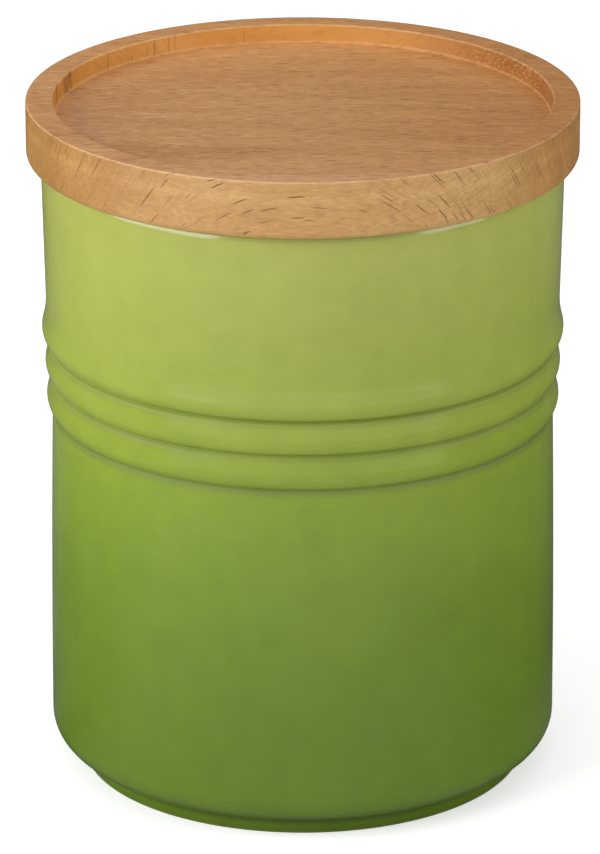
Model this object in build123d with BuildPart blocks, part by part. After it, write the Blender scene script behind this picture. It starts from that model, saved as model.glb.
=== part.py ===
"""Ribbed stoneware canister with a turned beech lid and a lipped silicone seal.

Millimetres, +Z up, origin at the centre of the foot's underside.
"""

import os
from math import cos, radians, sin, sqrt, tan

from build123d import *

os.makedirs("parts", exist_ok=True)

# Jar: upper wall and rim
body_diameter = 142.4  # upper wall where it leaves the ribs
jar_height = 176.65  # foot to rim
rim_flare = 0.8  # how far the upper wall leans out, on the radius, up to the rim
rim_round = 4.0  # outer edge of the rim
mouth_bevel = 1.5  # inner edge of the rim, a lead-in for the seal
rim_wall = 6.5  # wall thickness at the mouth

# Jar: three beads stacked round the wall, listed from the top one down
rib_drop = 53.2  # rim to the valley under the top bead
rib_pitch = 9.7
rib_crowns = (1.15, 0.35, 0.05)  # how far each bead's crown stands out from the upper wall
crown_rises = (4.2, 4.0, 3.7)  # each crown above the valley under its bead
valley_setback = 1.7  # valleys, inside the upper wall
flank_lean = 13.0  # degrees, the straight flank above a lower bead's crown
brow_drop = 0.6  # upper edge of a flank, below the valley above it
shoulder_blend = 40.0  # hollow curve that carries the top bead into the upper wall

# Jar: lower wall, base and foot
waist_setback = 1.45  # upper edge of the lower wall, inside the upper wall
belly_setback = 0.35  # lower wall above the base, inside the upper wall
base_curve = 8.2  # rounding from the lower wall to the underside
base_slope = 22.2  # degrees, the underside's rise from the foot
foot_inset = 9.0  # foot's outer face, inside the upper wall
foot_height = 4.15
foot_ring_width = 6.0
foot_recess = 2.5  # hollow inside the foot ring
foot_bevel = 0.5  # both edges of the ring that the jar stands on

# Jar: inside
mouth_depth = 20.0  # straight bore that takes the seal
base_wall = 6.2  # wall thickness above the floor
floor_thickness = 7.5
floor_round = 10.0

# Lid
lid_overhang = 4.0  # past the rim
lid_thickness = 16.2  # disc above the rim
lid_rim_width = 7.5  # raised border round the recess
recess_depth = 5.3
recess_bevel = 1.0  # corner of the recess floor
lid_bevel = 0.5  # upper edges
lid_under_edge = 2.3  # lower edge of the disc
plug_clearance = 2.5  # plug to mouth
plug_foot = 3.0  # plug below the seal
plug_bevel = 1.5  # lead-in at the plug's lower edge

# Seal and its groove
groove_drop = 3.0  # plug above the seal
groove_height = 6.0
groove_depth = 3.0
seal_gap = 0.2  # seal to groove, and lips to mouth
lip_count = 2
lip_root = 1.4
lip_tip = 0.6
lip_lift = 0.9  # tips bend up as the lid is pushed in

# Radii and heights that the pieces share
body_radius = body_diameter / 2
rim_radius = body_radius + rim_flare
mouth_radius = rim_radius - rim_wall
plug_radius = mouth_radius - plug_clearance
groove_radius = plug_radius - groove_depth
groove_top = jar_height - groove_drop
groove_bottom = groove_top - groove_height
plug_bottom = groove_bottom - plug_foot


def corner(sketch, point):
    """The vertex of a sketch that lies at a point."""
    return sketch.vertices().sort_by_distance(point)[0]


def bead_radius(valley, crown):
    """Radius of the circle that goes through a valley and stands upright at the crown above it."""
    depth = crown[0] - valley[0]
    rise = crown[1] - valley[1]
    return (depth**2 + rise**2) / (2 * depth)


# Stoneware jar: one profile from the underside's centre out and up, over the rim and down the inside
foot_radius = body_radius - foot_inset
ring_inner = foot_radius - foot_ring_width
belly_radius = body_radius - belly_setback
valley_radius = body_radius - valley_setback
base_corner = (belly_radius, foot_height + (belly_radius - foot_radius) * tan(radians(base_slope)))
ring_edges = [(ring_inner, 0), (foot_radius, 0)]

valleys = [(valley_radius, jar_height - rib_drop - bead * rib_pitch) for bead in range(len(rib_crowns))]
crowns = [
    (body_radius + stand_out, valley[1] + rise)
    for stand_out, valley, rise in zip(rib_crowns, valleys, crown_rises)
]
waist = (body_radius - waist_setback, valleys[-1][1] - brow_drop)

# The top bead's circle runs on past its crown until it is back at the upper wall
top_radius = bead_radius(valleys[0], crowns[0])
shoulder_rise = sqrt(top_radius**2 - (top_radius - rib_crowns[0]) ** 2)
shoulder = (body_radius, crowns[0][1] + shoulder_rise)

# A lower bead's circle runs on past its crown until it leans as the flank does
lean = radians(flank_lean)
flank_lines = []
for upper, valley, crown in zip(valleys, valleys[1:], crowns[1:]):
    radius = bead_radius(valley, crown)
    flank_foot = (crown[0] - radius * (1 - cos(lean)), crown[1] + radius * sin(lean))
    brow_level = upper[1] - brow_drop
    brow = (flank_foot[0] - (brow_level - flank_foot[1]) * tan(lean), brow_level)
    flank_lines.append((flank_foot, brow, upper))

rim_outer = (rim_radius, jar_height)
rim_inner = (mouth_radius, jar_height)
floor_level = foot_recess + floor_thickness
floor_corner = (belly_radius - base_wall, floor_level)

with BuildPart() as jar:
    with BuildSketch(Plane.XZ) as jar_profile:
        with BuildLine():
            Polyline(
                (0, foot_recess),
                (ring_inner, foot_recess),
                *ring_edges,
                (foot_radius, foot_height),
                base_corner,
            )
            TangentArc(base_corner, waist, tangent=(0, 1))
            Line(waist, valleys[-1])
            for valley, crown, flank in zip(valleys[1:], crowns[1:], flank_lines):
                ThreePointArc(valley, crown, flank[0])
                Polyline(*flank)
            ThreePointArc(valleys[0], crowns[0], shoulder)
            Polyline(
                shoulder,
                rim_outer,
                rim_inner,
                (mouth_radius, jar_height - mouth_depth),
                floor_corner,
                (0, floor_level),
                (0, foot_recess),
            )
        make_face()
        fillet(corner(jar_profile, base_corner), base_curve)
        fillet(corner(jar_profile, shoulder), shoulder_blend)
        fillet(corner(jar_profile, floor_corner), floor_round)
        fillet(corner(jar_profile, rim_outer), rim_round)
        chamfer(corner(jar_profile, rim_inner), mouth_bevel)
        chamfer([corner(jar_profile, edge) for edge in ring_edges], foot_bevel)
    revolve(axis=Axis.Z)
jar.part.label = "stoneware_jar"

# Beech lid: an overhanging disc with a recessed top, and a grooved plug below it
lid_radius = rim_radius + lid_overhang
lid_top = jar_height + lid_thickness
recess_edge = (lid_radius - lid_rim_width, lid_top)
recess_corner = (recess_edge[0], lid_top - recess_depth)
disc_edge = (lid_radius, lid_top)
disc_under_edge = (lid_radius, jar_height)
plug_corner = (plug_radius, plug_bottom)

with BuildPart() as lid:
    with BuildSketch(Plane.XZ) as lid_profile:
        with BuildLine():
            Polyline(
                (0, plug_bottom),
                plug_corner,
                (plug_radius, groove_bottom),
                (groove_radius, groove_bottom),
                (groove_radius, groove_top),
                (plug_radius, groove_top),
                (plug_radius, jar_height),
                disc_under_edge,
                disc_edge,
                recess_edge,
                recess_corner,
                (0, recess_corner[1]),
                close=True,
            )
        make_face()
        fillet(corner(lid_profile, disc_under_edge), lid_under_edge)
        chamfer([corner(lid_profile, edge) for edge in (disc_edge, recess_edge)], lid_bevel)
        chamfer(corner(lid_profile, recess_corner), recess_bevel)
        chamfer(corner(lid_profile, plug_corner), plug_bevel)
    revolve(axis=Axis.Z)
lid.part.label = "beech_lid"

# Silicone seal: a band that sits in the groove, with lips that reach for the mouth's wall
band_bottom = groove_bottom + seal_gap
band_height = groove_height - 2 * seal_gap
lip_spacing = band_height / lip_count
lip_reach = mouth_radius - seal_gap

with BuildPart() as seal:
    with BuildSketch(Plane.XZ):
        with Locations((groove_radius + seal_gap, band_bottom)):
            Rectangle(groove_depth - seal_gap, band_height, align=(Align.MIN, Align.MIN))
        for lip in range(lip_count):
            lip_level = band_bottom + (lip + 0.5) * lip_spacing
            with BuildLine():
                Polyline(
                    (plug_radius, lip_level - lip_root / 2),
                    (lip_reach, lip_level + lip_lift - lip_tip / 2),
                    (lip_reach, lip_level + lip_lift + lip_tip / 2),
                    (plug_radius, lip_level + lip_root / 2),
                    close=True,
                )
            make_face()
    revolve(axis=Axis.Z)
seal.part.label = "silicone_seal"

for piece in (jar, lid, seal):
    export_step(piece.part, f"parts/{piece.part.label}.step")
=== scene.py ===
import math

import bpy
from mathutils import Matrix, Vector


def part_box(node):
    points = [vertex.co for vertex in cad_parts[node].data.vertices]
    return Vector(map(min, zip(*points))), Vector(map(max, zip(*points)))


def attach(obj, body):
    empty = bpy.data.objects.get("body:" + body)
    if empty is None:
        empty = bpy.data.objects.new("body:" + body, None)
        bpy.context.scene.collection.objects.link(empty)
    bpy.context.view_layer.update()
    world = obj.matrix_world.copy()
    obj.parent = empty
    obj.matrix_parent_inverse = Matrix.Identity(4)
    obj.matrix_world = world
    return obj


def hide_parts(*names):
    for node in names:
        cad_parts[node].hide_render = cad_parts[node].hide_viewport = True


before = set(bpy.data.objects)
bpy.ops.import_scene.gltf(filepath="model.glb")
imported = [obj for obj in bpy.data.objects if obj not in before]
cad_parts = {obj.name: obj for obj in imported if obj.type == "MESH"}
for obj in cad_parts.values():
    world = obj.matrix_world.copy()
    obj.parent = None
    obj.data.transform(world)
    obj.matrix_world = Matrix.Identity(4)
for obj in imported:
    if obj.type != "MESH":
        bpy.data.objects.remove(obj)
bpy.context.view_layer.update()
mm = 0.001
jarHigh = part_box("stoneware_jar")[1]
lidLow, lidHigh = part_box("beech_lid")
sealLow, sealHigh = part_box("silicone_seal")
rimHeight = jarHigh.z
print(
    "frame loaded: jar", round(rimHeight / mm, 2), "mm high,",
    "lid", round(2 * lidHigh.x / mm, 2), "mm across")


# outlines are lists of (radius, height), turned about Z afterwards

outlineStep = {
    "run": 2.2 * mm,  # spacing along straight stretches
    "guard": 0.12 * mm,  # a ring this close to each rounding keeps the flat beside it flat
    "turn": math.radians(9),  # spacing round an arc
    "rimTurn": math.radians(4),  # the same on the rim's outer edge
    "same": 0.01 * mm,  # points closer than this are one
    "axis": 0.0001 * mm,  # a smaller radius lies on the axis
}


def straightRun(start, end):
    start, end = Vector(start), Vector(end)
    length = (end - start).length
    if length < 4 * outlineStep["guard"]:
        return [start, end]
    inner = length - 2 * outlineStep["guard"]
    count = max(1, math.ceil(inner / outlineStep["run"]))
    places = [0.0] + [outlineStep["guard"] + inner * i / count for i in range(count + 1)] + [length]
    return [start.lerp(end, place / length) for place in places]


def roundedPath(corners):
    # corners are (radius, height, rounding)
    path = []
    last = Vector(corners[0][:2])
    for before, here, after in zip(corners, corners[1:], corners[2:]):
        point = Vector(here[:2])
        back = (Vector(before[:2]) - point).normalized()
        ahead = (Vector(after[:2]) - point).normalized()
        turn = math.pi - back.angle(ahead)
        reach = here[2] * math.tan(turn / 2)
        middle = point + (back + ahead).normalized() * (here[2] / math.cos(turn / 2))
        path += straightRun(last, point + back * reach)
        first = point + back * reach - middle
        sway = first.angle_signed(point + ahead * reach - middle)
        steps = max(3, math.ceil(turn / outlineStep["turn"]))
        for i in range(1, steps):
            angle = -sway * i / steps
            path.append(middle + Vector((
                first.x * math.cos(angle) - first.y * math.sin(angle),
                first.x * math.sin(angle) + first.y * math.cos(angle))))
        last = point + ahead * reach
    return path + straightRun(last, corners[-1][:2])


def arcThrough(start, crown, end, step):
    # the arc from start to end by way of crown
    a, b, c = Vector(start), Vector(crown), Vector(end)
    d = 2 * (a.x * (b.y - c.y) + b.x * (c.y - a.y) + c.x * (a.y - b.y))
    sa, sb, sc = a.length_squared, b.length_squared, c.length_squared
    middle = Vector((
        (sa * (b.y - c.y) + sb * (c.y - a.y) + sc * (a.y - b.y)) / d,
        (sa * (c.x - b.x) + sb * (a.x - c.x) + sc * (b.x - a.x)) / d))
    radius = (a - middle).length
    low = math.atan2(a.y - middle.y, a.x - middle.x)
    sweep = math.remainder(math.atan2(c.y - middle.y, c.x - middle.x) - low, 2 * math.pi)
    count = max(4, math.ceil(abs(sweep) * radius / step))
    angles = [low + sweep * i / count for i in range(count + 1)]
    return [middle + radius * Vector((math.cos(t), math.sin(t))) for t in angles]


def evenRun(start, end, step):
    start, end = Vector(start), Vector(end)
    count = max(1, math.ceil((end - start).length / step))
    return [start.lerp(end, i / count) for i in range(count + 1)]


def risingArcs(arcs, top):
    # arcs that lean in one after another, from the given radius up to the given height
    path = [Vector((0.0, 0.0))]
    lean = 0.0
    for radius, endLean in arcs:
        end = math.radians(endLean)
        count = max(6, math.ceil((end - lean) / outlineStep["rimTurn"]))
        middle = path[-1] - radius * Vector((math.cos(lean), math.sin(lean)))
        for i in range(1, count + 1):
            t = lean + (end - lean) * i / count
            path.append(middle + radius * Vector((math.cos(t), math.sin(t))))
        lean = end
    shift = Vector((top[0], top[1] - path[-1].y))
    return [point + shift for point in path]


def readTable(table, value):
    # straight-line reading of a table of pairs, level beyond its ends
    if value <= table[0][0]:
        return table[0][1]
    for (a, low), (b, high) in zip(table, table[1:]):
        if value <= b:
            return low + (high - low) * (value - a) / (b - a)
    return table[-1][1]


def beadRadius(depth, rise):
    # circle that stands upright at a crown, and passes so far below and inside it
    return (depth ** 2 + rise ** 2) / (2 * depth)


def cleaned(path):
    # drops points that fall on the one before
    kept = [path[0]]
    for point in path[1:]:
        if (point - kept[-1]).length > outlineStep["same"]:
            kept.append(point)
    return kept


def turned(name, outline, marks, segments, ring=False):
    # turns an outline about Z; marks are values along the outline, kept as point attributes
    onAxis = [point.x < outlineStep["axis"] for point in outline]
    verts, starts = [], []
    for (r, z), centre in zip(outline, onAxis):
        starts.append(len(verts))
        if centre:
            verts.append((0.0, 0.0, z))
            continue
        for s in range(segments):
            angle = math.pi / 2 + 2 * math.pi * s / segments
            verts.append((r * math.cos(angle), r * math.sin(angle), z))
    travelled = [0.0]
    for a, b in zip(outline, outline[1:] + outline[:1]):
        travelled.append(travelled[-1] + (b - a).length)
    total = travelled[-1] if ring else travelled[-2]
    pairs = [(i, i + 1) for i in range(len(outline) - 1)]
    if ring:
        pairs.append((len(outline) - 1, 0))
    faces, spots = [], []
    for i, j in pairs:
        lowV, highV = travelled[i] / total, travelled[i + 1] / total
        for s in range(segments):
            e = (s + 1) % segments
            left, right = s / segments, (s + 1) / segments
            if onAxis[i]:
                faces.append((starts[i], starts[j] + e, starts[j] + s))
                spots += [((left + right) / 2, lowV), (right, highV), (left, highV)]
            elif onAxis[j]:
                faces.append((starts[i] + s, starts[i] + e, starts[j]))
                spots += [(left, lowV), (right, lowV), ((left + right) / 2, highV)]
            else:
                faces.append((starts[i] + s, starts[i] + e, starts[j] + e, starts[j] + s))
                spots += [(left, lowV), (right, lowV), (right, highV), (left, highV)]
    mesh = bpy.data.meshes.new(name)
    mesh.from_pydata(verts, [], faces)
    bakeMap = mesh.uv_layers.new(name="OFBake")
    bakeMap.data.foreach_set("uv", [value for spot in spots for value in spot])
    for mark, values in marks.items():
        spread = []
        for value, centre in zip(values, onAxis):
            spread += [value] * (1 if centre else segments)
        mesh.attributes.new(mark, "FLOAT", "POINT").data.foreach_set("value", spread)
    mesh.polygons.foreach_set("use_smooth", [True] * len(mesh.polygons))
    mesh.update()
    piece = bpy.data.objects.new(name, mesh)
    bpy.context.scene.collection.objects.link(piece)
    print(name, "turned:", len(outline), "rings,", len(mesh.polygons), "faces")
    return piece


def hill(value, centre, width):
    # 1 at its centre, falling off smoothly
    return math.exp(-((value - centre) / width) ** 2)


def ease(value, low, high):
    # a smooth step from 0 to 1, either way round
    t = min(1.0, max(0.0, (value - low) / (high - low)))
    return t * t * (3 - 2 * t)


# stoneware jar

topCrown = 1.15 * mm  # how far the top bead stands past the upper wall

jarShape = {
    "bodyRadius": jarHigh.x - topCrown,  # upper wall where it leaves the ribs
    "rimFlare": 0.8 * mm,
    # outer edge of the rim: arcs from the wall up, each a radius and the lean it ends at
    "rimArcs": ((4.0 * mm, 14.0), (7.5 * mm, 24.0), (1.43 * mm, 90.0)),
    "mouthRound": 1.5 * mm,  # inner edge
    "rimWall": 6.5 * mm,
    "ribDrop": 53.2 * mm,  # rim to the valley under the top bead
    "ribPitch": 9.7 * mm,
    "crowns": (topCrown, 0.35 * mm, 0.05 * mm),  # past the upper wall, top bead first
    "crownRises": (4.2 * mm, 4.0 * mm, 3.7 * mm),  # each crown above its valley
    "valleySetback": 1.7 * mm,
    "valleySoften": 2,  # passes that round the glaze lying in a valley
    "softenReach": 0.35 * mm,  # how far from the valley they reach
    "flankLean": math.radians(13),  # straight stretch above a lower bead's crown
    "browDrop": 0.6 * mm,  # where that stretch ends, below the next valley
    "shoulderBlend": 27.0 * mm,
    "ribStep": 0.16 * mm,  # spacing of the rings on the ribs
    "blendStep": 0.6 * mm,  # and on the blend above them
    "waistSetback": 1.45 * mm,
    "bellySetback": 0.35 * mm,
    "baseCurve": 8.2 * mm,
    "baseSlope": math.radians(22.2),
    "footInset": 9.0 * mm,
    "footHeight": 4.15 * mm,
    "footRing": 6.0 * mm,
    "footRecess": 2.5 * mm,
    "footRound": 0.3 * mm,
    "crease": 0.6 * mm,
    "mouthDepth": 20.0 * mm,
    "boreRound": 1.0 * mm,  # where the bore of the mouth ends
    "baseWall": 6.2 * mm,
    "floorThickness": 7.5 * mm,
    "floorRound": 10.0 * mm,
    "segments": 192,
}

# where the glaze is darker (partly glaze pooling in the valleys, partly painted shade in the grooves and
# round the foot), dull, thin or not at all
glazeLay = {
    # how dark each valley is painted, partly glaze pooling and partly painted shade in the groove, top one
    # first: mm below it, measured on a slant that counts what stands out as well, and a share of black
    "valleyPoolsAndShade": (
        ((-0.6, 0.0), (-0.15, 0.19), (0.15, 0.11), (0.5, 0.06),
         (0.75, 0.10), (1.05, 0.18), (1.4, 0.17), (2.5, 0.0)),
        ((-0.6, 0.0), (-0.2, 0.22), (0.1, 0.26), (0.5, 0.18),
         (0.75, 0.20), (1.05, 0.20), (1.4, 0.15), (2.4, 0.0)),
        ((-0.4, 0.0), (-0.2, 0.06), (0.0, 0.30), (0.2, 0.48),
         (0.5, 0.38), (1.05, 0.12), (1.5, 0.02), (1.8, 0.0)),
    ),
    "matte": ((-0.3, 0.0), (0.1, 1.0), (1.2, 1.0), (1.9, 0.0)),  # how dull it is there
    "slant": math.radians(20.5),
    # painted shade round the foot: under the base, in the crease, and a painted contact shadow at the
    # standing edge; how dark, and the heights where that begins and where it is full
    "underBase": (0.28, 9.0 * mm, 5.2 * mm),
    "underCrease": (0.30, 1.9 * mm, 3.9 * mm),
    "paintedContactShadow": (0.55, 0.6 * mm, 0.15 * mm),
    "thinWidth": 1.0 * mm,  # over the rim
    "creamFade": 1.2 * mm,  # from the rim's green to the cream inside
    "bareHeights": (0.05 * mm, 0.2 * mm),  # clay gives way to glaze, up the ring's side
    "bareInset": (1.0 * mm, 0.3 * mm),  # and inside the ring
}


def jarOutline(s):
    body = s["bodyRadius"]
    belly = body - s["bellySetback"]
    foot = body - s["footInset"]
    valley = body - s["valleySetback"]
    waist = body - s["waistSetback"]
    valleys = [rimHeight - s["ribDrop"] - i * s["ribPitch"] for i in range(len(s["crowns"]))]
    baseZ = s["footHeight"] + (belly - foot) * math.tan(s["baseSlope"])

    # underside, foot and base
    lower = roundedPath([
        (0, s["footRecess"], 0),
        (foot - s["footRing"], s["footRecess"], s["crease"]),
        (foot - s["footRing"], 0, s["footRound"]),
        (foot, 0, s["footRound"]),
        (foot, s["footHeight"], s["crease"]),
        (belly, baseZ, s["baseCurve"]),
        (belly, baseZ + s["baseCurve"], 0)])

    # lower wall, a slow curve in to the waist
    waistZ = valleys[2] - s["browDrop"]
    drawIn = (belly - waist) / (waistZ - baseZ) ** 2
    start = lower[-1].y
    count = math.ceil((waistZ - start) / outlineStep["run"])
    heights = [start + (waistZ - start) * i / count for i in range(1, count + 1)]
    wall = [Vector((belly - drawIn * (z - baseZ) ** 2, z)) for z in heights]

    # beads: an arc round each crown, and on the lower two a straight flank up to a brow
    step = s["ribStep"]
    lean = s["flankLean"]
    ribs = evenRun((waist, waistZ), (valley, valleys[2]), step)
    for i in (2, 1):
        crown, crownZ = body + s["crowns"][i], valleys[i] + s["crownRises"][i]
        radius = beadRadius(crown - valley, s["crownRises"][i])
        flank = Vector((crown - radius * (1 - math.cos(lean)), crownZ + radius * math.sin(lean)))
        browZ = valleys[i - 1] - s["browDrop"]
        brow = Vector((flank.x - (browZ - flank.y) * math.tan(lean), browZ))
        ribs += arcThrough((valley, valleys[i]), (crown, crownZ), flank, step)[1:]
        ribs += evenRun(flank, brow, step)[1:]
        ribs += evenRun(brow, (valley, valleys[i - 1]), step)[1:]

    # top bead, and the hollow blend that carries it into the upper wall
    blend = s["shoulderBlend"]
    crown, crownZ = body + s["crowns"][0], valleys[0] + s["crownRises"][0]
    radius = beadRadius(crown - valley, s["crownRises"][0])
    middle = crown - radius
    across = body + blend - middle
    blendZ = crownZ + math.sqrt((radius + blend) ** 2 - across ** 2)
    leave = math.atan2(blendZ - crownZ, across)
    meet = (middle + radius * math.cos(leave), crownZ + radius * math.sin(leave))
    ribs += arcThrough((valley, valleys[0]), (crown, crownZ), meet, step)[1:]
    half = math.pi + leave / 2
    between = (body + blend * (1 + math.cos(half)), blendZ + blend * math.sin(half))
    ribs += arcThrough(meet, between, (body, blendZ), s["blendStep"])[1:]

    # upper wall, rim and inside
    rim = body + s["rimFlare"]
    mouth = rim - s["rimWall"]
    floorZ = s["footRecess"] + s["floorThickness"]
    edge = risingArcs(s["rimArcs"], (rim, rimHeight))
    upper = straightRun((body, blendZ), edge[0]) + edge[1:] + roundedPath([
        (edge[-1].x, rimHeight, 0),
        (mouth, rimHeight, s["mouthRound"]),
        (mouth, rimHeight - s["mouthDepth"], s["boreRound"]),
        (belly - s["baseWall"], floorZ, s["floorRound"]),
        (0, floorZ, 0)])

    outline = cleaned(lower + wall + ribs + upper)
    for _ in range(s["valleySoften"]):
        for i in range(1, len(outline) - 1):
            r, z = outline[i]
            inValley = min(abs(z - v) for v in valleys) < s["softenReach"]
            if inValley and r > mouth:  # outside only
                outline[i] = (outline[i - 1] + 2 * outline[i] + outline[i + 1]) / 4
    rimTop = max(range(len(outline)), key=lambda i: (outline[i].y, -outline[i].x))
    return outline, valleys, rimTop


def makeJar():
    s, lay = jarShape, glazeLay
    outline, valleys, rimTop = jarOutline(s)
    valley = s["bodyRadius"] - s["valleySetback"]
    mouth = s["bodyRadius"] + s["rimFlare"] - s["rimWall"]
    ringInner = s["bodyRadius"] - s["footInset"] - s["footRing"]

    def footShade(name, z):
        dark, begins, full = lay[name]
        return dark * ease(z, begins, full)

    marks = {"poolAndShade": [], "matte": [], "thin": [], "inside": [], "bare": []}
    for i, (r, z) in enumerate(outline):
        outer = 1.0 if i < rimTop else 0.0
        # poolAndShade is painted shade round the foot and in the grooves, partly glaze pooling in the
        # valleys
        if z > s["footHeight"]:
            poolAndShade = footShade("underBase", z)
        else:
            poolAndShade = footShade("underCrease", z) + footShade("paintedContactShadow", z)
        matte = 0.0
        for v, depths in zip(valleys, lay["valleyPoolsAndShade"]):
            below = ((v - z) * math.cos(lay["slant"]) + (r - valley) * math.sin(lay["slant"])) / mm
            poolAndShade += readTable(depths, below)
            matte += readTable(lay["matte"], below)
        farIn, nearIn = lay["bareInset"]
        bare = (1 - ease(z, *lay["bareHeights"])) * ease(r, ringInner - farIn, ringInner - nearIn)
        marks["poolAndShade"].append(min(1.0, poolAndShade) * outer)
        marks["matte"].append(min(1.0, matte) * outer)
        marks["thin"].append(hill(z, rimHeight, lay["thinWidth"]))
        marks["inside"].append((1 - outer) * ease(mouth + s["mouthRound"] - r, 0.0, lay["creamFade"]))
        marks["bare"].append(outer * bare)
    jar = turned("canisterJar", outline, marks, s["segments"])
    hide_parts("stoneware_jar")
    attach(jar, "jar")
    return jar


# beech lid

lidShape = {
    "borderWidth": 7.5 * mm,
    "recessDepth": 5.3 * mm,
    "recessCove": 0.8 * mm,
    "edge": 0.55 * mm,
    "underEdge": 2.3 * mm,
    "plugRadius": 63.0 * mm,
    "plugEdge": 1.3 * mm,
    "grooveDrop": 3.0 * mm,
    "grooveHeight": 6.0 * mm,
    "grooveDepth": 3.0 * mm,
    "grooveRound": 0.3 * mm,
    "segments": 256,
    # how far from the recess wall, its floor and the upper edges their looks begin and end; the floor
    # beside the wall takes a painted light and the upper edges a painted highlight
    "wallInside": (1.0 * mm, 0.2 * mm),
    "wallOutside": (0.02 * mm, 0.5 * mm),
    "wallFoot": (-0.01 * mm, 0.6 * mm),
    "edgeHighlightReach": (0.15 * mm, 0.45 * mm),
    "floorTop": (0.1 * mm, 0.5 * mm),
    "floorReach": (18.0 * mm, 2.0 * mm),
}


def makeLid():
    s = lidShape
    outer, top, bottom = lidHigh.x, lidHigh.z, lidLow.z
    grooveTop = rimHeight - s["grooveDrop"]
    grooveLow = grooveTop - s["grooveHeight"]
    plug, groove = s["plugRadius"], s["plugRadius"] - s["grooveDepth"]
    inner = outer - s["borderWidth"]
    recess = top - s["recessDepth"]
    outline = cleaned(roundedPath([
        (0, bottom, 0),
        (plug, bottom, s["plugEdge"]),
        (plug, grooveLow, s["grooveRound"]),
        (groove, grooveLow, s["grooveRound"]),
        (groove, grooveTop, s["grooveRound"]),
        (plug, grooveTop, s["grooveRound"]),
        (plug, rimHeight, s["grooveRound"]),
        (outer, rimHeight, s["underEdge"]),
        (outer, top, s["edge"]),
        (inner, top, s["edge"]),
        (inner, recess, s["recessCove"]),
        (0, recess, 0)]))
    marks = {"recessWall": [], "edge": [], "paintedFloorLight": []}
    wallIn = [inner - reach for reach in s["wallInside"]]
    wallOut = [inner + reach for reach in s["wallOutside"]]
    wallFoot = [recess + reach for reach in s["wallFoot"]]
    floorTop = [recess + reach for reach in s["floorTop"]]
    floorIn = [inner - reach for reach in s["floorReach"]]
    for r, z in outline:
        onWall = ease(r, *wallIn) * (1 - ease(r, *wallOut)) * ease(z, *wallFoot)
        onFloor = 1 - ease(z, *floorTop) if z > wallFoot[0] else 0.0
        toEdge = min((Vector((r, z)) - Vector(spot)).length for spot in ((outer, top), (inner, top)))
        # the edge mark carries a painted highlight; the floor mark a painted light beside the recess wall
        marks["recessWall"].append(onWall)
        marks["edge"].append(1 - ease(toEdge, *s["edgeHighlightReach"]))
        marks["paintedFloorLight"].append(onFloor * ease(r, *floorIn))
    lid = turned("canisterLid", outline, marks, s["segments"])

    # how far the surface faces along the grain, and up
    mesh = lid.data
    facing = [abs(n.vector.x) for n in mesh.vertex_normals]
    mesh.attributes.new("endGrain", "FLOAT", "POINT").data.foreach_set("value", facing)
    facing = [n.vector.z for n in mesh.vertex_normals]
    mesh.attributes.new("topFace", "FLOAT", "POINT").data.foreach_set("value", facing)
    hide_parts("beech_lid")
    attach(lid, "lid")
    return lid


# silicone seal

sealShape = {
    "bandRadius": lidShape["plugRadius"],  # outer face of the band, flush with the plug
    "gap": 0.2 * mm,  # band to groove
    "lips": 2,
    "lipRoot": 1.4 * mm,
    "lipTip": 0.6 * mm,
    "lipLift": 0.9 * mm,
    "tipRound": 0.21 * mm,
    "edge": 0.25 * mm,
    "segments": 224,
}


def makeSeal():
    s = sealShape
    low, high, reach = sealLow.z, sealHigh.z, sealHigh.x
    inner = lidShape["plugRadius"] - lidShape["grooveDepth"] + s["gap"]
    halfway = (low + high) / 2
    spacing = (high - low) / s["lips"]
    corners = [(inner, halfway, 0), (inner, low, s["edge"]), (s["bandRadius"], low, s["edge"])]
    for lip in range(s["lips"]):
        level = low + (lip + 0.5) * spacing
        tip = level + s["lipLift"]
        corners += [
            (s["bandRadius"], level - s["lipRoot"] / 2, s["edge"]),
            (reach, tip - s["lipTip"] / 2, s["tipRound"]),
            (reach, tip + s["lipTip"] / 2, s["tipRound"]),
            (s["bandRadius"], level + s["lipRoot"] / 2, s["edge"])]
    corners += [(s["bandRadius"], high, s["edge"]), (inner, high, s["edge"]), (inner, halfway, 0)]
    outline = cleaned(roundedPath(corners))
    if (outline[0] - outline[-1]).length < outlineStep["same"]:
        outline.pop()
    seal = turned("canisterSeal", outline, {}, s["segments"], ring=True)
    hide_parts("silicone_seal")
    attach(seal, "seal")
    return seal


# shader helpers

def newMaterial(name):
    material = bpy.data.materials.new(name)
    material.use_nodes = True
    tree = material.node_tree
    tree.nodes.clear()
    out = tree.nodes.new("ShaderNodeOutputMaterial")
    surface = tree.nodes.new("ShaderNodeBsdfPrincipled")
    tree.links.new(surface.outputs["BSDF"], out.inputs["Surface"])
    return material, tree, surface


def put(tree, kind, inputs=None, **settings):
    made = tree.nodes.new("ShaderNode" + kind)
    for key, value in settings.items():
        setattr(made, key, value)
    for key, value in (inputs or {}).items():
        if isinstance(value, bpy.types.NodeSocket):
            tree.links.new(value, made.inputs[key])
        else:
            made.inputs[key].default_value = value
    return made


def calc(tree, operation, a, b=0.0, c=0.0, clamp=False):
    return put(tree, "Math", {0: a, 1: b, 2: c}, operation=operation, use_clamp=clamp).outputs[0]


def times(tree, first, *others):
    for other in others:
        first = calc(tree, "MULTIPLY", first, other)
    return first


def remap(tree, value, low, high, toLow=0.0, toHigh=1.0, smooth=False):
    kind = "SMOOTHSTEP" if smooth else "LINEAR"
    inputs = {"Value": value, "From Min": low, "From Max": high, "To Min": toLow, "To Max": toHigh}
    return put(tree, "MapRange", inputs, interpolation_type=kind, clamp=True).outputs[0]


def tint(tree, factor, a, b, kind="MIX"):
    made = put(tree, "Mix", {0: factor, 6: a, 7: b}, data_type="RGBA", blend_type=kind, clamp_factor=True)
    return made.outputs[2]


def grey(tree, level):
    return put(tree, "CombineColor", {0: level, 1: level, 2: level}).outputs[0]


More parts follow.
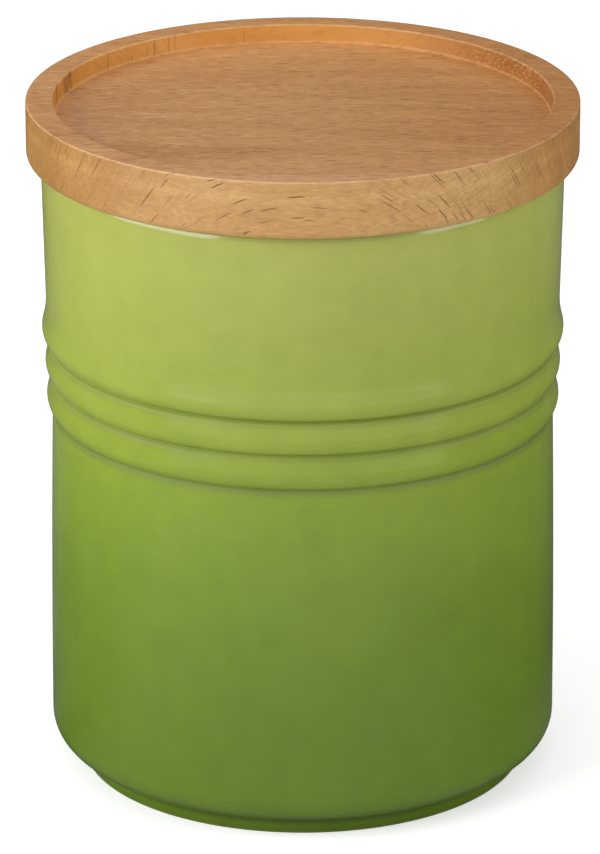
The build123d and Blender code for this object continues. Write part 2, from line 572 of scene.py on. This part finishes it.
def vectorCalc(tree, operation, a, b=(0.0, 0.0, 0.0)):
    return put(tree, "VectorMath", {0: a, 1: b}, operation=operation).outputs


def dot(tree, vector, direction):
    return vectorCalc(tree, "DOT_PRODUCT", vector, direction)["Value"]


def vectorLength(tree, vector):
    return vectorCalc(tree, "LENGTH", vector)["Value"]


def colour(red, green, blue):
    # written as on screen, 0 to 255
    def level(v):
        v = v / 255
        return v / 12.92 if v <= 0.04045 else ((v + 0.055) / 1.055) ** 2.4
    return (level(red), level(green), level(blue), 1.0)


def plainGrey(level):
    return (level, level, level, 1.0)


def ramp(tree, factor, stops):
    made = put(tree, "ValToRGB", {"Fac": factor})
    band = made.color_ramp
    while len(band.elements) < len(stops):
        band.elements.new(0.5)
    for element, (place, shade) in zip(band.elements, stops):
        element.position = place
        element.color = shade
    return made.outputs["Color"]


def noise(tree, vector, scale, detail=2.0, roughness=0.5):
    inputs = {"Vector": vector, "Scale": scale, "Detail": detail, "Roughness": roughness}
    return put(tree, "TexNoise", inputs).outputs["Fac"]


def emboss(tree, surface, height, strength, depth, sunk=False):
    made = put(tree, "Bump", {"Height": height, "Strength": strength, "Distance": depth}, invert=sunk)
    tree.links.new(made.outputs["Normal"], surface.inputs["Normal"])


def readMarks(tree, *names):
    return [put(tree, "Attribute", attribute_name=name).outputs["Fac"] for name in names]


# shaded green glaze, cream inside, bare clay under the foot

glazeLook = {
    # height up the jar as a share of the rim's, and the glaze there
    "shades": [
        (0.00, colour(96, 123, 31)),
        (0.20, colour(101, 129, 36)),
        (0.35, colour(110, 137, 40)),
        (0.48, colour(124, 150, 49)),
        (0.58, colour(135, 157, 52)),
        (0.66, colour(148, 166, 62)),
        (0.74, colour(156, 170, 73)),
        (0.86, colour(165, 174, 82)),
        (1.00, colour(174, 180, 91)),
    ],
    "drift": 0.035,  # how far the spray line wanders, as a share of the height
    "poolAndShadeColour": colour(0, 0, 0),  # painted shade, partly glaze pooling: the glaze darkens towards this in the valleys and round the foot
    "thinned": colour(188, 196, 112),
    "thinShare": 0.25,
    "mottled": colour(120, 140, 50),
    "mottleShare": 0.10,
    "cream": colour(226, 219, 198),
    "clay": colour(198, 176, 146),
    "clayDark": colour(172, 146, 114),
    "gloss": (0.13, 0.19),  # roughness, from one patch to another
    "poolDull": 0.50,  # added to it in the valleys
    "clayDull": 0.85,
    "index": 1.54,
    # noises: features per metre, detail and roughness
    "clouds": (26.0, 3.0, 0.5),
    "mottle": (120.0, 4.0, 0.6),
    "grit": (1600.0, 3.0, 0.7),
    "peel": (330.0, 2.0, 0.5),
    "evenPart": (0.3, 0.7),  # the part of a noise that shows
    "patchPart": (0.35, 0.7),  # the same, with less of it left clear
    "peelHeight": 0.35,
    "gritHeight": 1.6,
    "relief": (0.02, 0.25 * mm),  # strength and depth
}


def makeGlaze():
    look = glazeLook
    material, tree, surface = newMaterial("shadedGreenGlaze")
    place = put(tree, "TexCoord").outputs["Object"]
    height = put(tree, "SeparateXYZ", {0: place}).outputs["Z"]
    clouds, mottle, grit, peel = [
        noise(tree, place, *look[key]) for key in ("clouds", "mottle", "grit", "peel")]
    poolAndShade, matte, thin, inside, bare = readMarks(tree, "poolAndShade", "matte", "thin", "inside", "bare")

    # green by height, darker in the valleys and round the foot (partly glaze pooling, partly painted
    # shade), cream inside
    wander = remap(tree, clouds, *look["evenPart"], -look["drift"], look["drift"])
    green = ramp(tree, calc(tree, "ADD", calc(tree, "DIVIDE", height, rimHeight), wander), look["shades"])
    mottling = remap(tree, mottle, *look["patchPart"], 0.0, look["mottleShare"])
    green = tint(tree, mottling, green, look["mottled"], "MULTIPLY")
    green = tint(tree, times(tree, thin, look["thinShare"]), green, look["thinned"])
    # painted shade in the grooves and round the foot, partly glaze pooling
    green = tint(tree, poolAndShade, green, look["poolAndShadeColour"])
    base = tint(tree, inside, green, look["cream"])
    clay = tint(tree, remap(tree, grit, *look["patchPart"]), look["clay"], look["clayDark"])
    base = tint(tree, bare, base, clay)
    tree.links.new(base, surface.inputs["Base Color"])

    gloss = remap(tree, mottle, *look["evenPart"], *look["gloss"])
    gloss = calc(tree, "ADD", gloss, times(tree, matte, look["poolDull"]))
    gloss = calc(tree, "MAXIMUM", gloss, times(tree, bare, look["clayDull"]))
    tree.links.new(gloss, surface.inputs["Roughness"])
    surface.inputs["IOR"].default_value = look["index"]

    gritty = times(tree, grit, bare, look["gritHeight"])
    skin = calc(tree, "ADD", times(tree, peel, look["peelHeight"]), gritty)
    emboss(tree, surface, skin, *look["relief"])
    print("glaze ready")
    return material


# oiled beech, a solid wood: grain along X, rays and growth rings leaning in YZ

beechLook = {
    "light": colour(207, 163, 109),
    "dark": colour(193, 146, 92),
    "fleck": colour(106, 63, 28),
    "ring": colour(160, 112, 60),
    "edgeHighlight": colour(243, 209, 165),  # painted highlight along the sharp upper edges
    # painted glints, and the pale side of the painted light on the end-grain dots
    "paintedGlint": colour(240, 192, 138),
    "endTint": (0.76, 0.69, 0.48, 1.0),  # end grain drinks the oil
    "paintedFloorLight": (1.15, 1.20, 1.28, 1.0),  # painted light: paler wood beside the recess wall, lifting the shade there
    "tintReach": lidHigh.x / mm,  # from the axis to where the tints below begin and end
    # tints along the grain, from its left end to its right, partly wood tone and partly painted light and
    # shade: outer side, top (a painted sheen towards the left), recess wall (painted light at the left,
    # painted shade at the right)
    "sideTonesAndShade": [
        (0.00, (0.94, 0.93, 0.85, 1.0)), (0.20, (0.90, 0.87, 0.80, 1.0)), (0.45, (0.95, 0.93, 0.85, 1.0)),
        (0.68, (1.03, 1.04, 0.96, 1.0)), (0.82, (1.08, 1.12, 1.10, 1.0)), (1.00, (0.98, 0.90, 0.84, 1.0))],
    "topTonesAndSheen": [
        (0.00, (1.12, 0.96, 0.96, 1.0)), (0.50, (1.05, 0.94, 0.91, 1.0)), (1.00, (0.95, 0.74, 0.57, 1.0))],
    "wallTonesAndShade": [
        (0.00, (1.50, 1.24, 0.70, 1.0)), (0.13, (1.53, 1.36, 0.96, 1.0)), (0.24, (1.36, 1.17, 0.79, 1.0)),
        (0.37, (1.19, 0.96, 0.57, 1.0)), (0.50, (1.18, 0.97, 0.61, 1.0)), (0.68, (1.06, 0.87, 0.57, 1.0)),
        (0.82, (0.84, 0.63, 0.40, 1.0)), (1.00, (0.68, 0.45, 0.28, 1.0))],
    # tints of the top across the grain, from its front to its back: a painted sheen towards the front,
    # warmer tone towards the back
    "depthTonesAndSheen": [
        (0.00, (1.12, 1.21, 1.42, 1.0)), (0.10, (1.04, 1.08, 1.14, 1.0)), (0.22, (1.00, 1.01, 1.02, 1.0)),
        (0.60, (1.00, 1.00, 0.98, 1.0)), (0.85, (1.05, 1.00, 0.88, 1.0)), (1.00, (1.02, 0.97, 0.88, 1.0))],
    # cosines at which a surface begins to count as top, end grain or underside, and fully does
    "facesUp": (0.3, 0.8),
    "facesEnd": (0.45, 0.95),
    "facesDown": (-0.1, -0.6),
    "rayLean": math.radians(65),  # rays above the horizontal
    # flecks: room for each in mm along the grain, along the ray and across it, how thick, how many
    # are left out and how short the shortest is, as shares
    "rays": ((6.5, 13.0, 1.15), 0.24, 0.15, 0.20),
    "closeRays": ((6.0, 16.0, 1.3), 0.24, 0.40, 0.30),
    "dashes": ((5.0, 5.0, 2.0), 0.95, 0.05, 0.12),
    "fleckScatter": 0.9,
    "fleckLongest": 0.60,  # share of its cell
    "fleckCore": 0.55,  # share of a fleck that is fully dark
    "fleckFaintest": 0.35,
    # noises: room for each feature as above, detail, roughness, and the part of the noise that shows
    "pores": ((5.0, 0.45, 0.45), 3.0, 0.6, (0.42, 0.75)),
    "fine": ((3.2, 0.9, 1.1), 2.0, 0.6, (0.25, 0.75)),
    "bands": ((90.0, 14.0, 9.0), 2.0, 0.5, (0.30, 0.72)),
    # painted sheen: short pale streaks
    "sheen": ((6.0, 2.0, 1.2), 2.0, 0.5, (0.58, 0.70)),
    "speckle": ((2.0, 0.5, 0.5), 2.0, 0.6, (0.54, 0.66)),
    "hairs": ((1.1, 40.0, 40.0), 1.0, 0.5, (0.63, 0.70)),
    # breaks up the painted edge highlight
    "highlightBreakup": ((4.0, 2.0, 2.0), 2.0, 0.5, (0.35, 0.65)),
    "sway": ((60.0, 22.0, 22.0), 1.0, 0.5, (0.25, 0.75)),
    "ringWave": ((70.0, 26.0, 26.0), 2.0, 0.5, (0.20, 0.80)),
    "swayBy": 0.6,  # mm that rays wander
    "ringWaveBy": 3.0,  # mm that growth rings wander
    "ringWidth": 2.8,  # mm
    "ringLine": (0.84, 1.0),  # the part of a ring's width that its dark line takes
    # strengths on the sides and on the top
    "poreShade": (0.14, 0.30),
    "dashShade": (0.12, 0.42),
    "rayShade": (1.0, 0.30),
    # painted glints, from the sides to the top
    "glintSpread": (0.12, 1.0),
    # shares of them that are left on the recess wall
    "wallPores": 0.5,
    "wallFine": 0.35,
    "wallRays": 0.30,
    "fineLevels": (0.86, 1.14),
    # how strong the painted edge highlight is
    "highlightLevels": (0.10, 0.55),
    # strengths that change along the grain: mm from the middle and strength, twice
    "crowding": ((5.0, 0.0), (50.0, 1.0)),
    "hairShade": ((0.0, 0.0), (-45.0, 0.5)),
    # painted glints, stronger towards the left end
    "glintShade": ((-70.0, 0.55), (20.0, 0.20)),
    "ringShade": ((-10.0, 0.06), (60.0, 0.36)),
    # painted light and shade on the end-grain dots: dark towards the left end, pale towards the right
    "dotPaintedLight": ((-20.0, 0.0), (20.0, 1.0)),
    "dotShade": ((-20.0, 0.30), (20.0, 0.60)),
    "heart": (-65.2, 0.4, 1.6),  # a dark streak: mm along the grain, half width of its core and in all
    "heartCell": (0.9, 5.0),  # its upright dashes, mm across and high
    "heartPart": (0.40, 0.60),  # the part of their noise that shows
    "heartShade": (0.10, 0.75),
    "satin": (0.42, 0.58),  # roughness
    "satinPart": (0.3, 0.8),  # the part of the pores' noise that changes it
    "shine": 0.35,
    "hollows": (0.8, 0.7, 0.4),  # how deep rays, pores and dashes lie, beside each other
    "relief": (0.35, 0.06 * mm),  # strength and depth
}


def makeBeech():
    look = beechLook
    material, tree, surface = newMaterial("oiledBeech")
    place = put(tree, "TexCoord").outputs["Object"]
    endGrain, topFace, recessWall, edge, paintedFloorLight = readMarks(
        tree, "endGrain", "topFace", "recessWall", "edge", "paintedFloorLight")
    up = remap(tree, topFace, *look["facesUp"], smooth=True)
    ends = remap(tree, endGrain, *look["facesEnd"], smooth=True)
    notDown = remap(tree, topFace, *look["facesDown"], 1.0, 0.0)

    # millimetres along the grain, along the rays and across both
    lean = look["rayLean"]
    grain = dot(tree, place, (1 / mm, 0, 0))
    depth = dot(tree, place, (0, 1 / mm, 0))
    height = dot(tree, place, (0, 0, 1 / mm))
    ray = dot(tree, place, (0, -math.cos(lean) / mm, math.sin(lean) / mm))
    flat = dot(tree, place, (0, math.sin(lean) / mm, math.cos(lean) / mm))

    def spot(cell):
        # a place in the wood, counted in cells of that many mm
        parts = [calc(tree, "DIVIDE", way, size) for way, size in zip((grain, ray, flat), cell)]
        return put(tree, "CombineXYZ", {0: parts[0], 1: parts[1], 2: parts[2]}).outputs[0]

    def figure(name, toLow=0.0, toHigh=1.0):
        cell, detail, roughness, window = look[name]
        return remap(tree, noise(tree, spot(cell), 1.0, detail, roughness), *window, toLow, toHigh)

    def flecks(cell, thick, least, short):
        # one thin lens in each cell, of a length and strength drawn by lot
        where = spot(cell)
        settings = {"feature": "F1", "voronoi_dimensions": "3D"}
        inputs = {"Vector": where, "Scale": 1.0, "Randomness": look["fleckScatter"]}
        cells = put(tree, "TexVoronoi", inputs, **settings).outputs
        lots = put(tree, "SeparateColor", {0: cells["Color"]}).outputs
        size = remap(tree, lots[0], least, 1.0, short, look["fleckLongest"])
        long = calc(tree, "DIVIDE", 1.0, size)
        scales = put(tree, "CombineXYZ", {0: long, 1: long, 2: 2 * cell[2] / thick}).outputs[0]
        off = vectorCalc(tree, "SUBTRACT", where, cells["Position"])[0]
        away = vectorLength(tree, vectorCalc(tree, "MULTIPLY", off, scales)[0])
        kept = calc(tree, "GREATER_THAN", lots[0], least)
        strength = remap(tree, lots[1], 0.0, 1.0, look["fleckFaintest"], 1.0)
        return times(tree, remap(tree, away, 1.0, look["fleckCore"], smooth=True), kept, strength)

    def alongGrain(name):
        (start, low), (end, high) = look[name]
        return remap(tree, grain, start, end, low, high)

    def sideToTop(name):
        return remap(tree, up, 0.0, 1.0, *look[name])

    def leftOnWall(name):
        return remap(tree, recessWall, 0.0, 1.0, 1.0, look[name])

    # slow waviness bends rays and rings a little
    flat = calc(tree, "ADD", flat, figure("sway", -look["swayBy"], look["swayBy"]))
    rings = calc(tree, "ADD", ray, figure("ringWave", -look["ringWaveBy"], look["ringWaveBy"]))
    ringPlace = calc(tree, "FRACT", calc(tree, "DIVIDE", rings, look["ringWidth"]))
    ringLine = remap(tree, ringPlace, *look["ringLine"], smooth=True)
    crowd = times(tree, flecks(*look["closeRays"]), alongGrain("crowding"))
    rays = calc(tree, "MAXIMUM", flecks(*look["rays"]), crowd)
    dashes = flecks(*look["dashes"])
    poreCell, poreDetail, poreRoughness, poreWindow = look["pores"]
    pores = noise(tree, spot(poreCell), 1.0, poreDetail, poreRoughness)

    # colour of the wood by the face it shows, partly wood tone and partly painted light, shade and sheen
    # from the tints
    reach = look["tintReach"]
    across = remap(tree, grain, -reach, reach)
    sides, tops, walls = [ramp(tree, across, look[key]) for key in ("sideTonesAndShade", "topTonesAndSheen", "wallTonesAndShade")]
    backward = ramp(tree, remap(tree, depth, -reach, reach), look["depthTonesAndSheen"])
    tops = tint(tree, 1.0, tops, backward, "MULTIPLY")
    face = tint(tree, recessWall, tint(tree, up, sides, tops), walls)
    wood = tint(tree, figure("bands"), look["light"], look["dark"])
    wood = tint(tree, ends, wood, look["endTint"], "MULTIPLY")
    wood = tint(tree, 1.0, wood, face, "MULTIPLY")
    # painted light on the floor beside the recess wall
    wood = tint(tree, paintedFloorLight, wood, look["paintedFloorLight"], "MULTIPLY")

    # pores, fine figure, and hairlines up the recess wall
    dull = times(tree, sideToTop("poreShade"), leftOnWall("wallPores"))
    wood = tint(tree, times(tree, remap(tree, pores, *poreWindow), dull), wood, look["fleck"])
    level = grey(tree, figure("fine", *look["fineLevels"]))
    wood = tint(tree, leftOnWall("wallFine"), wood, tint(tree, 1.0, wood, level, "MULTIPLY"))
    hairs = times(tree, figure("hairs"), recessWall, alongGrain("hairShade"))
    wood = tint(tree, hairs, wood, look["fleck"])

    # one dark streak in the end grain of the recess wall, broken into upright dashes
    heartPlace, core, whole = look["heart"]
    fromHeart = calc(tree, "ABSOLUTE", calc(tree, "SUBTRACT", grain, heartPlace))
    wide, tall = look["heartCell"]
    parts = {0: calc(tree, "DIVIDE", depth, wide), 1: calc(tree, "DIVIDE", height, tall)}
    upright = put(tree, "CombineXYZ", parts).outputs[0]
    broken = remap(tree, noise(tree, upright, 1.0), *look["heartPart"], *look["heartShade"])
    heart = times(tree, remap(tree, fromHeart, whole, core, smooth=True), broken, recessWall)
    wood = tint(tree, heart, wood, look["fleck"])

    # painted glints, growth rings, dotted end grain with painted light and shade, painted edge highlights
    # and flecks
    paintedGlints = times(tree, figure("sheen"), alongGrain("glintShade"), sideToTop("glintSpread"))
    wood = tint(tree, paintedGlints, wood, look["paintedGlint"])
    wood = tint(tree, times(tree, ringLine, alongGrain("ringShade")), wood, look["ring"])
    dots = times(tree, figure("speckle"), ends, recessWall, alongGrain("dotShade"))
    wood = tint(tree, dots, wood, tint(tree, alongGrain("dotPaintedLight"), look["fleck"], look["paintedGlint"]))
    wood = tint(tree, times(tree, edge, figure("highlightBreakup", *look["highlightLevels"])), wood, look["edgeHighlight"])
    wood = tint(tree, times(tree, dashes, sideToTop("dashShade")), wood, look["fleck"])
    bold = times(tree, sideToTop("rayShade"), leftOnWall("wallRays"), notDown)
    wood = tint(tree, times(tree, rays, bold), wood, look["fleck"])
    tree.links.new(wood, surface.inputs["Base Color"])

    satin = remap(tree, pores, *look["satinPart"], *look["satin"])
    tree.links.new(satin, surface.inputs["Roughness"])
    surface.inputs["Specular IOR Level"].default_value = look["shine"]

    hollows = [times(tree, mark, deep) for mark, deep in zip((rays, pores, dashes), look["hollows"])]
    hollow = calc(tree, "ADD", calc(tree, "ADD", hollows[0], hollows[1]), hollows[2])
    emboss(tree, surface, hollow, *look["relief"], sunk=True)
    print("beech ready")
    return material


# milky silicone

siliconeLook = {
    "milk": colour(228, 227, 220),
    "dull": colour(214, 212, 203),
    "satin": (0.37, 0.50),  # roughness
    "dust": (900.0, 3.0, 0.6),  # specks per metre, detail and roughness
    "dustPart": (0.35, 0.7),  # the part of it that dulls the colour
    "satinPart": (0.3, 0.7),  # and the gloss
    "glow": 0.15,  # light that passes under the skin
    "glowTint": (1.0, 1.0, 0.9),
    "glowDepth": 1.2 * mm,
    "relief": (0.08, 0.1 * mm),  # strength and depth
}


def makeSilicone():
    look = siliconeLook
    material, tree, surface = newMaterial("milkySilicone")
    place = put(tree, "TexCoord").outputs["Object"]
    dust = noise(tree, place, *look["dust"])
    milk = tint(tree, remap(tree, dust, *look["dustPart"]), look["milk"], look["dull"])
    tree.links.new(milk, surface.inputs["Base Color"])
    satin = remap(tree, dust, *look["satinPart"], *look["satin"])
    tree.links.new(satin, surface.inputs["Roughness"])
    surface.inputs["Subsurface Weight"].default_value = look["glow"]
    surface.inputs["Subsurface Radius"].default_value = look["glowTint"]
    surface.inputs["Subsurface Scale"].default_value = look["glowDepth"]
    emboss(tree, surface, dust, *look["relief"])
    print("silicone ready")
    return material


# studio: pale floor, two softboxes, an even sky

studio = {
    "floorHalf": 20.0,
    "floorShade": 0.85,  # what the floor throws back on the jar
    "floorShown": 0.95,  # and how it looks itself
    "floorLift": 0.45,  # brings that look up to white
    "sky": 0.55,
    "aim": Vector((0.0, 0.0, 0.10)),
    # azimuth from the front, elevation, distance, width, height, radiance
    "key": (-62.5, 22.5, 1.5, 1.38, 0.65, 5.85),
    "fill": (67.5, 22.5, 1.5, 0.84, 0.65, 3.55),
}

cards = {
    "sides": 96,
    "inner": 0.0624,
    "outer": 1.90,
    "lift": 0.4 * mm,  # above the floor
    # how pale the card is, by the cosine of the azimuth, close by and far off
    "nearShades": [(-1.0, 0.11), (-0.75, 0.10), (-0.40, 0.07), (0.20, 0.14), (0.65, 0.42), (1.00, 0.50)],
    "farShades": [(-1.0, 0.09), (-0.75, 0.08), (-0.40, 0.06), (0.20, 0.11), (0.65, 0.28), (1.00, 0.32)],
    "nearTo": (0.16, 0.48),  # where the close shades give way to the far ones
    # paler and darker patches of it: azimuth, added shade, and the distances where it is full and none
    "glows": [
        (-155, 0.095, 0.36, 0.50), (-128, 0.06, 0.12, 0.18), (-62, -0.08, 0.13, 0.20),
        (107, 0.12, 0.085, 0.125), (155, 0.06, 0.50, 0.28)],
    "glowEdge": (0.75, 0.95),  # cosines between which a patch fades in
    "contact": 0.015,  # width of the painted contact shadow on the card beside the jar
    "contactShade": 0.5,
    "turn": -7,  # the palest side, from the front
    "drapeHeight": 1.3,
    "drapeShade": 0.10,
    "drapeOpen": 0.45,  # cosine of the azimuth where it stops, open to the front
}


def softbox(name, azimuth, elevation, distance, width, height, radiance):
    lamp = bpy.data.lights.new(name, "AREA")
    lamp.shape = "RECTANGLE"
    lamp.size = width
    lamp.size_y = height
    lamp.energy = radiance * math.pi * width * height
    box = bpy.data.objects.new(name, lamp)
    turn, rise = math.radians(azimuth), math.radians(elevation)
    ray = Vector((math.sin(turn) * math.cos(rise), -math.cos(turn) * math.cos(rise), math.sin(rise)))
    box.location = studio["aim"] + ray * distance
    box.rotation_euler = ray.to_track_quat("Z", "Y").to_euler()
    box.visible_camera = False
    bpy.context.scene.collection.objects.link(box)


def stagePiece(name, verts, faces, material):
    mesh = bpy.data.meshes.new(name)
    mesh.from_pydata(verts, [], faces)
    mesh.materials.append(material)
    piece = bpy.data.objects.new(name, mesh)
    bpy.context.scene.collection.objects.link(piece)
    return piece


def makeFloor():
    half = studio["floorHalf"]
    corners = [(-half, -half, 0), (half, -half, 0), (half, half, 0), (-half, half, 0)]
    stagePiece("studioFloor", corners, [(0, 1, 2, 3)], floorLook())


def floorLook():
    material = bpy.data.materials.new("paleFloor")
    material.use_nodes = True
    tree = material.node_tree
    tree.nodes.clear()
    out = tree.nodes.new("ShaderNodeOutputMaterial")
    thrown = put(tree, "BsdfDiffuse", {"Color": plainGrey(studio["floorShade"])})
    shown = put(tree, "BsdfDiffuse", {"Color": plainGrey(studio["floorShown"])})
    lift = put(tree, "Emission", {"Color": plainGrey(1.0), "Strength": studio["floorLift"]})
    white = put(tree, "AddShader", {0: shown.outputs[0], 1: lift.outputs[0]})
    path = put(tree, "LightPath")
    seen = calc(tree, "ADD", path.outputs["Is Camera Ray"], path.outputs["Is Glossy Ray"])
    seen = calc(tree, "ADD", seen, path.outputs["Is Transmission Ray"], clamp=True)
    both = put(tree, "MixShader", {0: seen, 1: thrown.outputs[0], 2: white.outputs[0]})
    tree.links.new(both.outputs[0], out.inputs["Surface"])
    return material


def makeCards():
    # graded card round the jar and a dark drape behind the lamps, met only by reflections
    count = cards["sides"]
    turns = [2 * math.pi * i / count for i in range(count)]

    def circle(radius, height):
        return [(radius * math.cos(t), radius * math.sin(t), height) for t in turns]

    quads = [(i, (i + 1) % count, count + (i + 1) % count, count + i) for i in range(count)]
    behind = [quad for quad in quads if -math.sin(turns[quad[0]]) < cards["drapeOpen"]]
    outside = circle(cards["outer"], cards["lift"])
    hem = circle(cards["outer"], cards["drapeHeight"])
    pieces = [
        stagePiece("edgeCard", circle(cards["inner"], cards["lift"]) + outside, quads, cardLook()),
        stagePiece("darkDrape", outside + hem, behind, drapeLook())]
    for piece in pieces:
        piece.visible_camera = False
        piece.visible_diffuse = False
        piece.visible_shadow = False
        piece.visible_transmission = False


def cardLook():
    material, tree, surface = newMaterial("gradedCard")
    place = put(tree, "TexCoord").outputs["Object"]
    away = vectorLength(tree, place)

    def towards(azimuth):
        # cosine of the angle between a place on the card and an azimuth
        turn = math.radians(azimuth)
        return calc(tree, "DIVIDE", dot(tree, place, (math.sin(turn), -math.cos(turn), 0.0)), away)

    facing = remap(tree, towards(cards["turn"]), -1.0, 1.0)
    near, far = [
        ramp(tree, facing, [((cosine + 1) / 2, plainGrey(level)) for cosine, level in cards[key]])
        for key in ("nearShades", "farShades")]
    shade = tint(tree, remap(tree, away, *cards["nearTo"], smooth=True), near, far)
    for azimuth, strength, full, none in cards["glows"]:
        glow = remap(tree, towards(azimuth), *cards["glowEdge"], 0.0, strength, smooth=True)
        glow = times(tree, glow, remap(tree, away, none, full, smooth=True))
        shade = tint(tree, 1.0, shade, grey(tree, glow), "ADD")
    # painted contact shadow on the card beside the foot
    beside = cards["inner"] + cards["contact"]
    close = remap(tree, away, cards["inner"], beside, cards["contactShade"], 1.0, smooth=True)
    shade = tint(tree, 1.0, shade, grey(tree, close), "MULTIPLY")
    tree.links.new(shade, surface.inputs["Base Color"])
    surface.inputs["Roughness"].default_value = 1.0
    surface.inputs["Specular IOR Level"].default_value = 0.0
    return material


def drapeLook():
    material, tree, surface = newMaterial("darkCloth")
    surface.inputs["Base Color"].default_value = plainGrey(cards["drapeShade"])
    surface.inputs["Roughness"].default_value = 1.0
    surface.inputs["Specular IOR Level"].default_value = 0.0
    return material


def makeStudio():
    makeFloor()
    makeCards()
    softbox("keyBox", *studio["key"])
    softbox("fillBox", *studio["fill"])
    world = bpy.data.worlds.new("evenSky")
    world.use_nodes = True
    sky = world.node_tree.nodes["Background"]
    sky.inputs["Color"].default_value = plainGrey(1.0)
    sky.inputs["Strength"].default_value = studio["sky"]
    bpy.context.scene.world = world
    print("studio ready")


# camera at the photograph's place

cameraPlace = {
    "aim": Vector((-0.77 * mm, 0.0, 96.16 * mm)),
    "elevation": math.radians(20.503),
    "distance": 1.6869,
    "lens": 254.49,
    "clipStart": 0.05,
}


def makeCamera():
    c = cameraPlace
    lens = bpy.data.cameras.new("photoCamera")
    lens.lens = c["lens"]
    lens.clip_start = c["clipStart"]
    camera = bpy.data.objects.new("photoCamera", lens)
    back = Vector((0.0, -math.cos(c["elevation"]), math.sin(c["elevation"])))
    camera.location = c["aim"] + back * c["distance"]
    camera.rotation_euler = back.to_track_quat("Z", "Y").to_euler()
    bpy.context.scene.collection.objects.link(camera)
    bpy.context.scene.camera = camera
    print("camera ready")


jar = makeJar()
lid = makeLid()
seal = makeSeal()
jar.data.materials.append(makeGlaze())
lid.data.materials.append(makeBeech())
seal.data.materials.append(makeSilicone())
makeStudio()
makeCamera()
bpy.context.scene.view_settings.view_transform = "Standard"
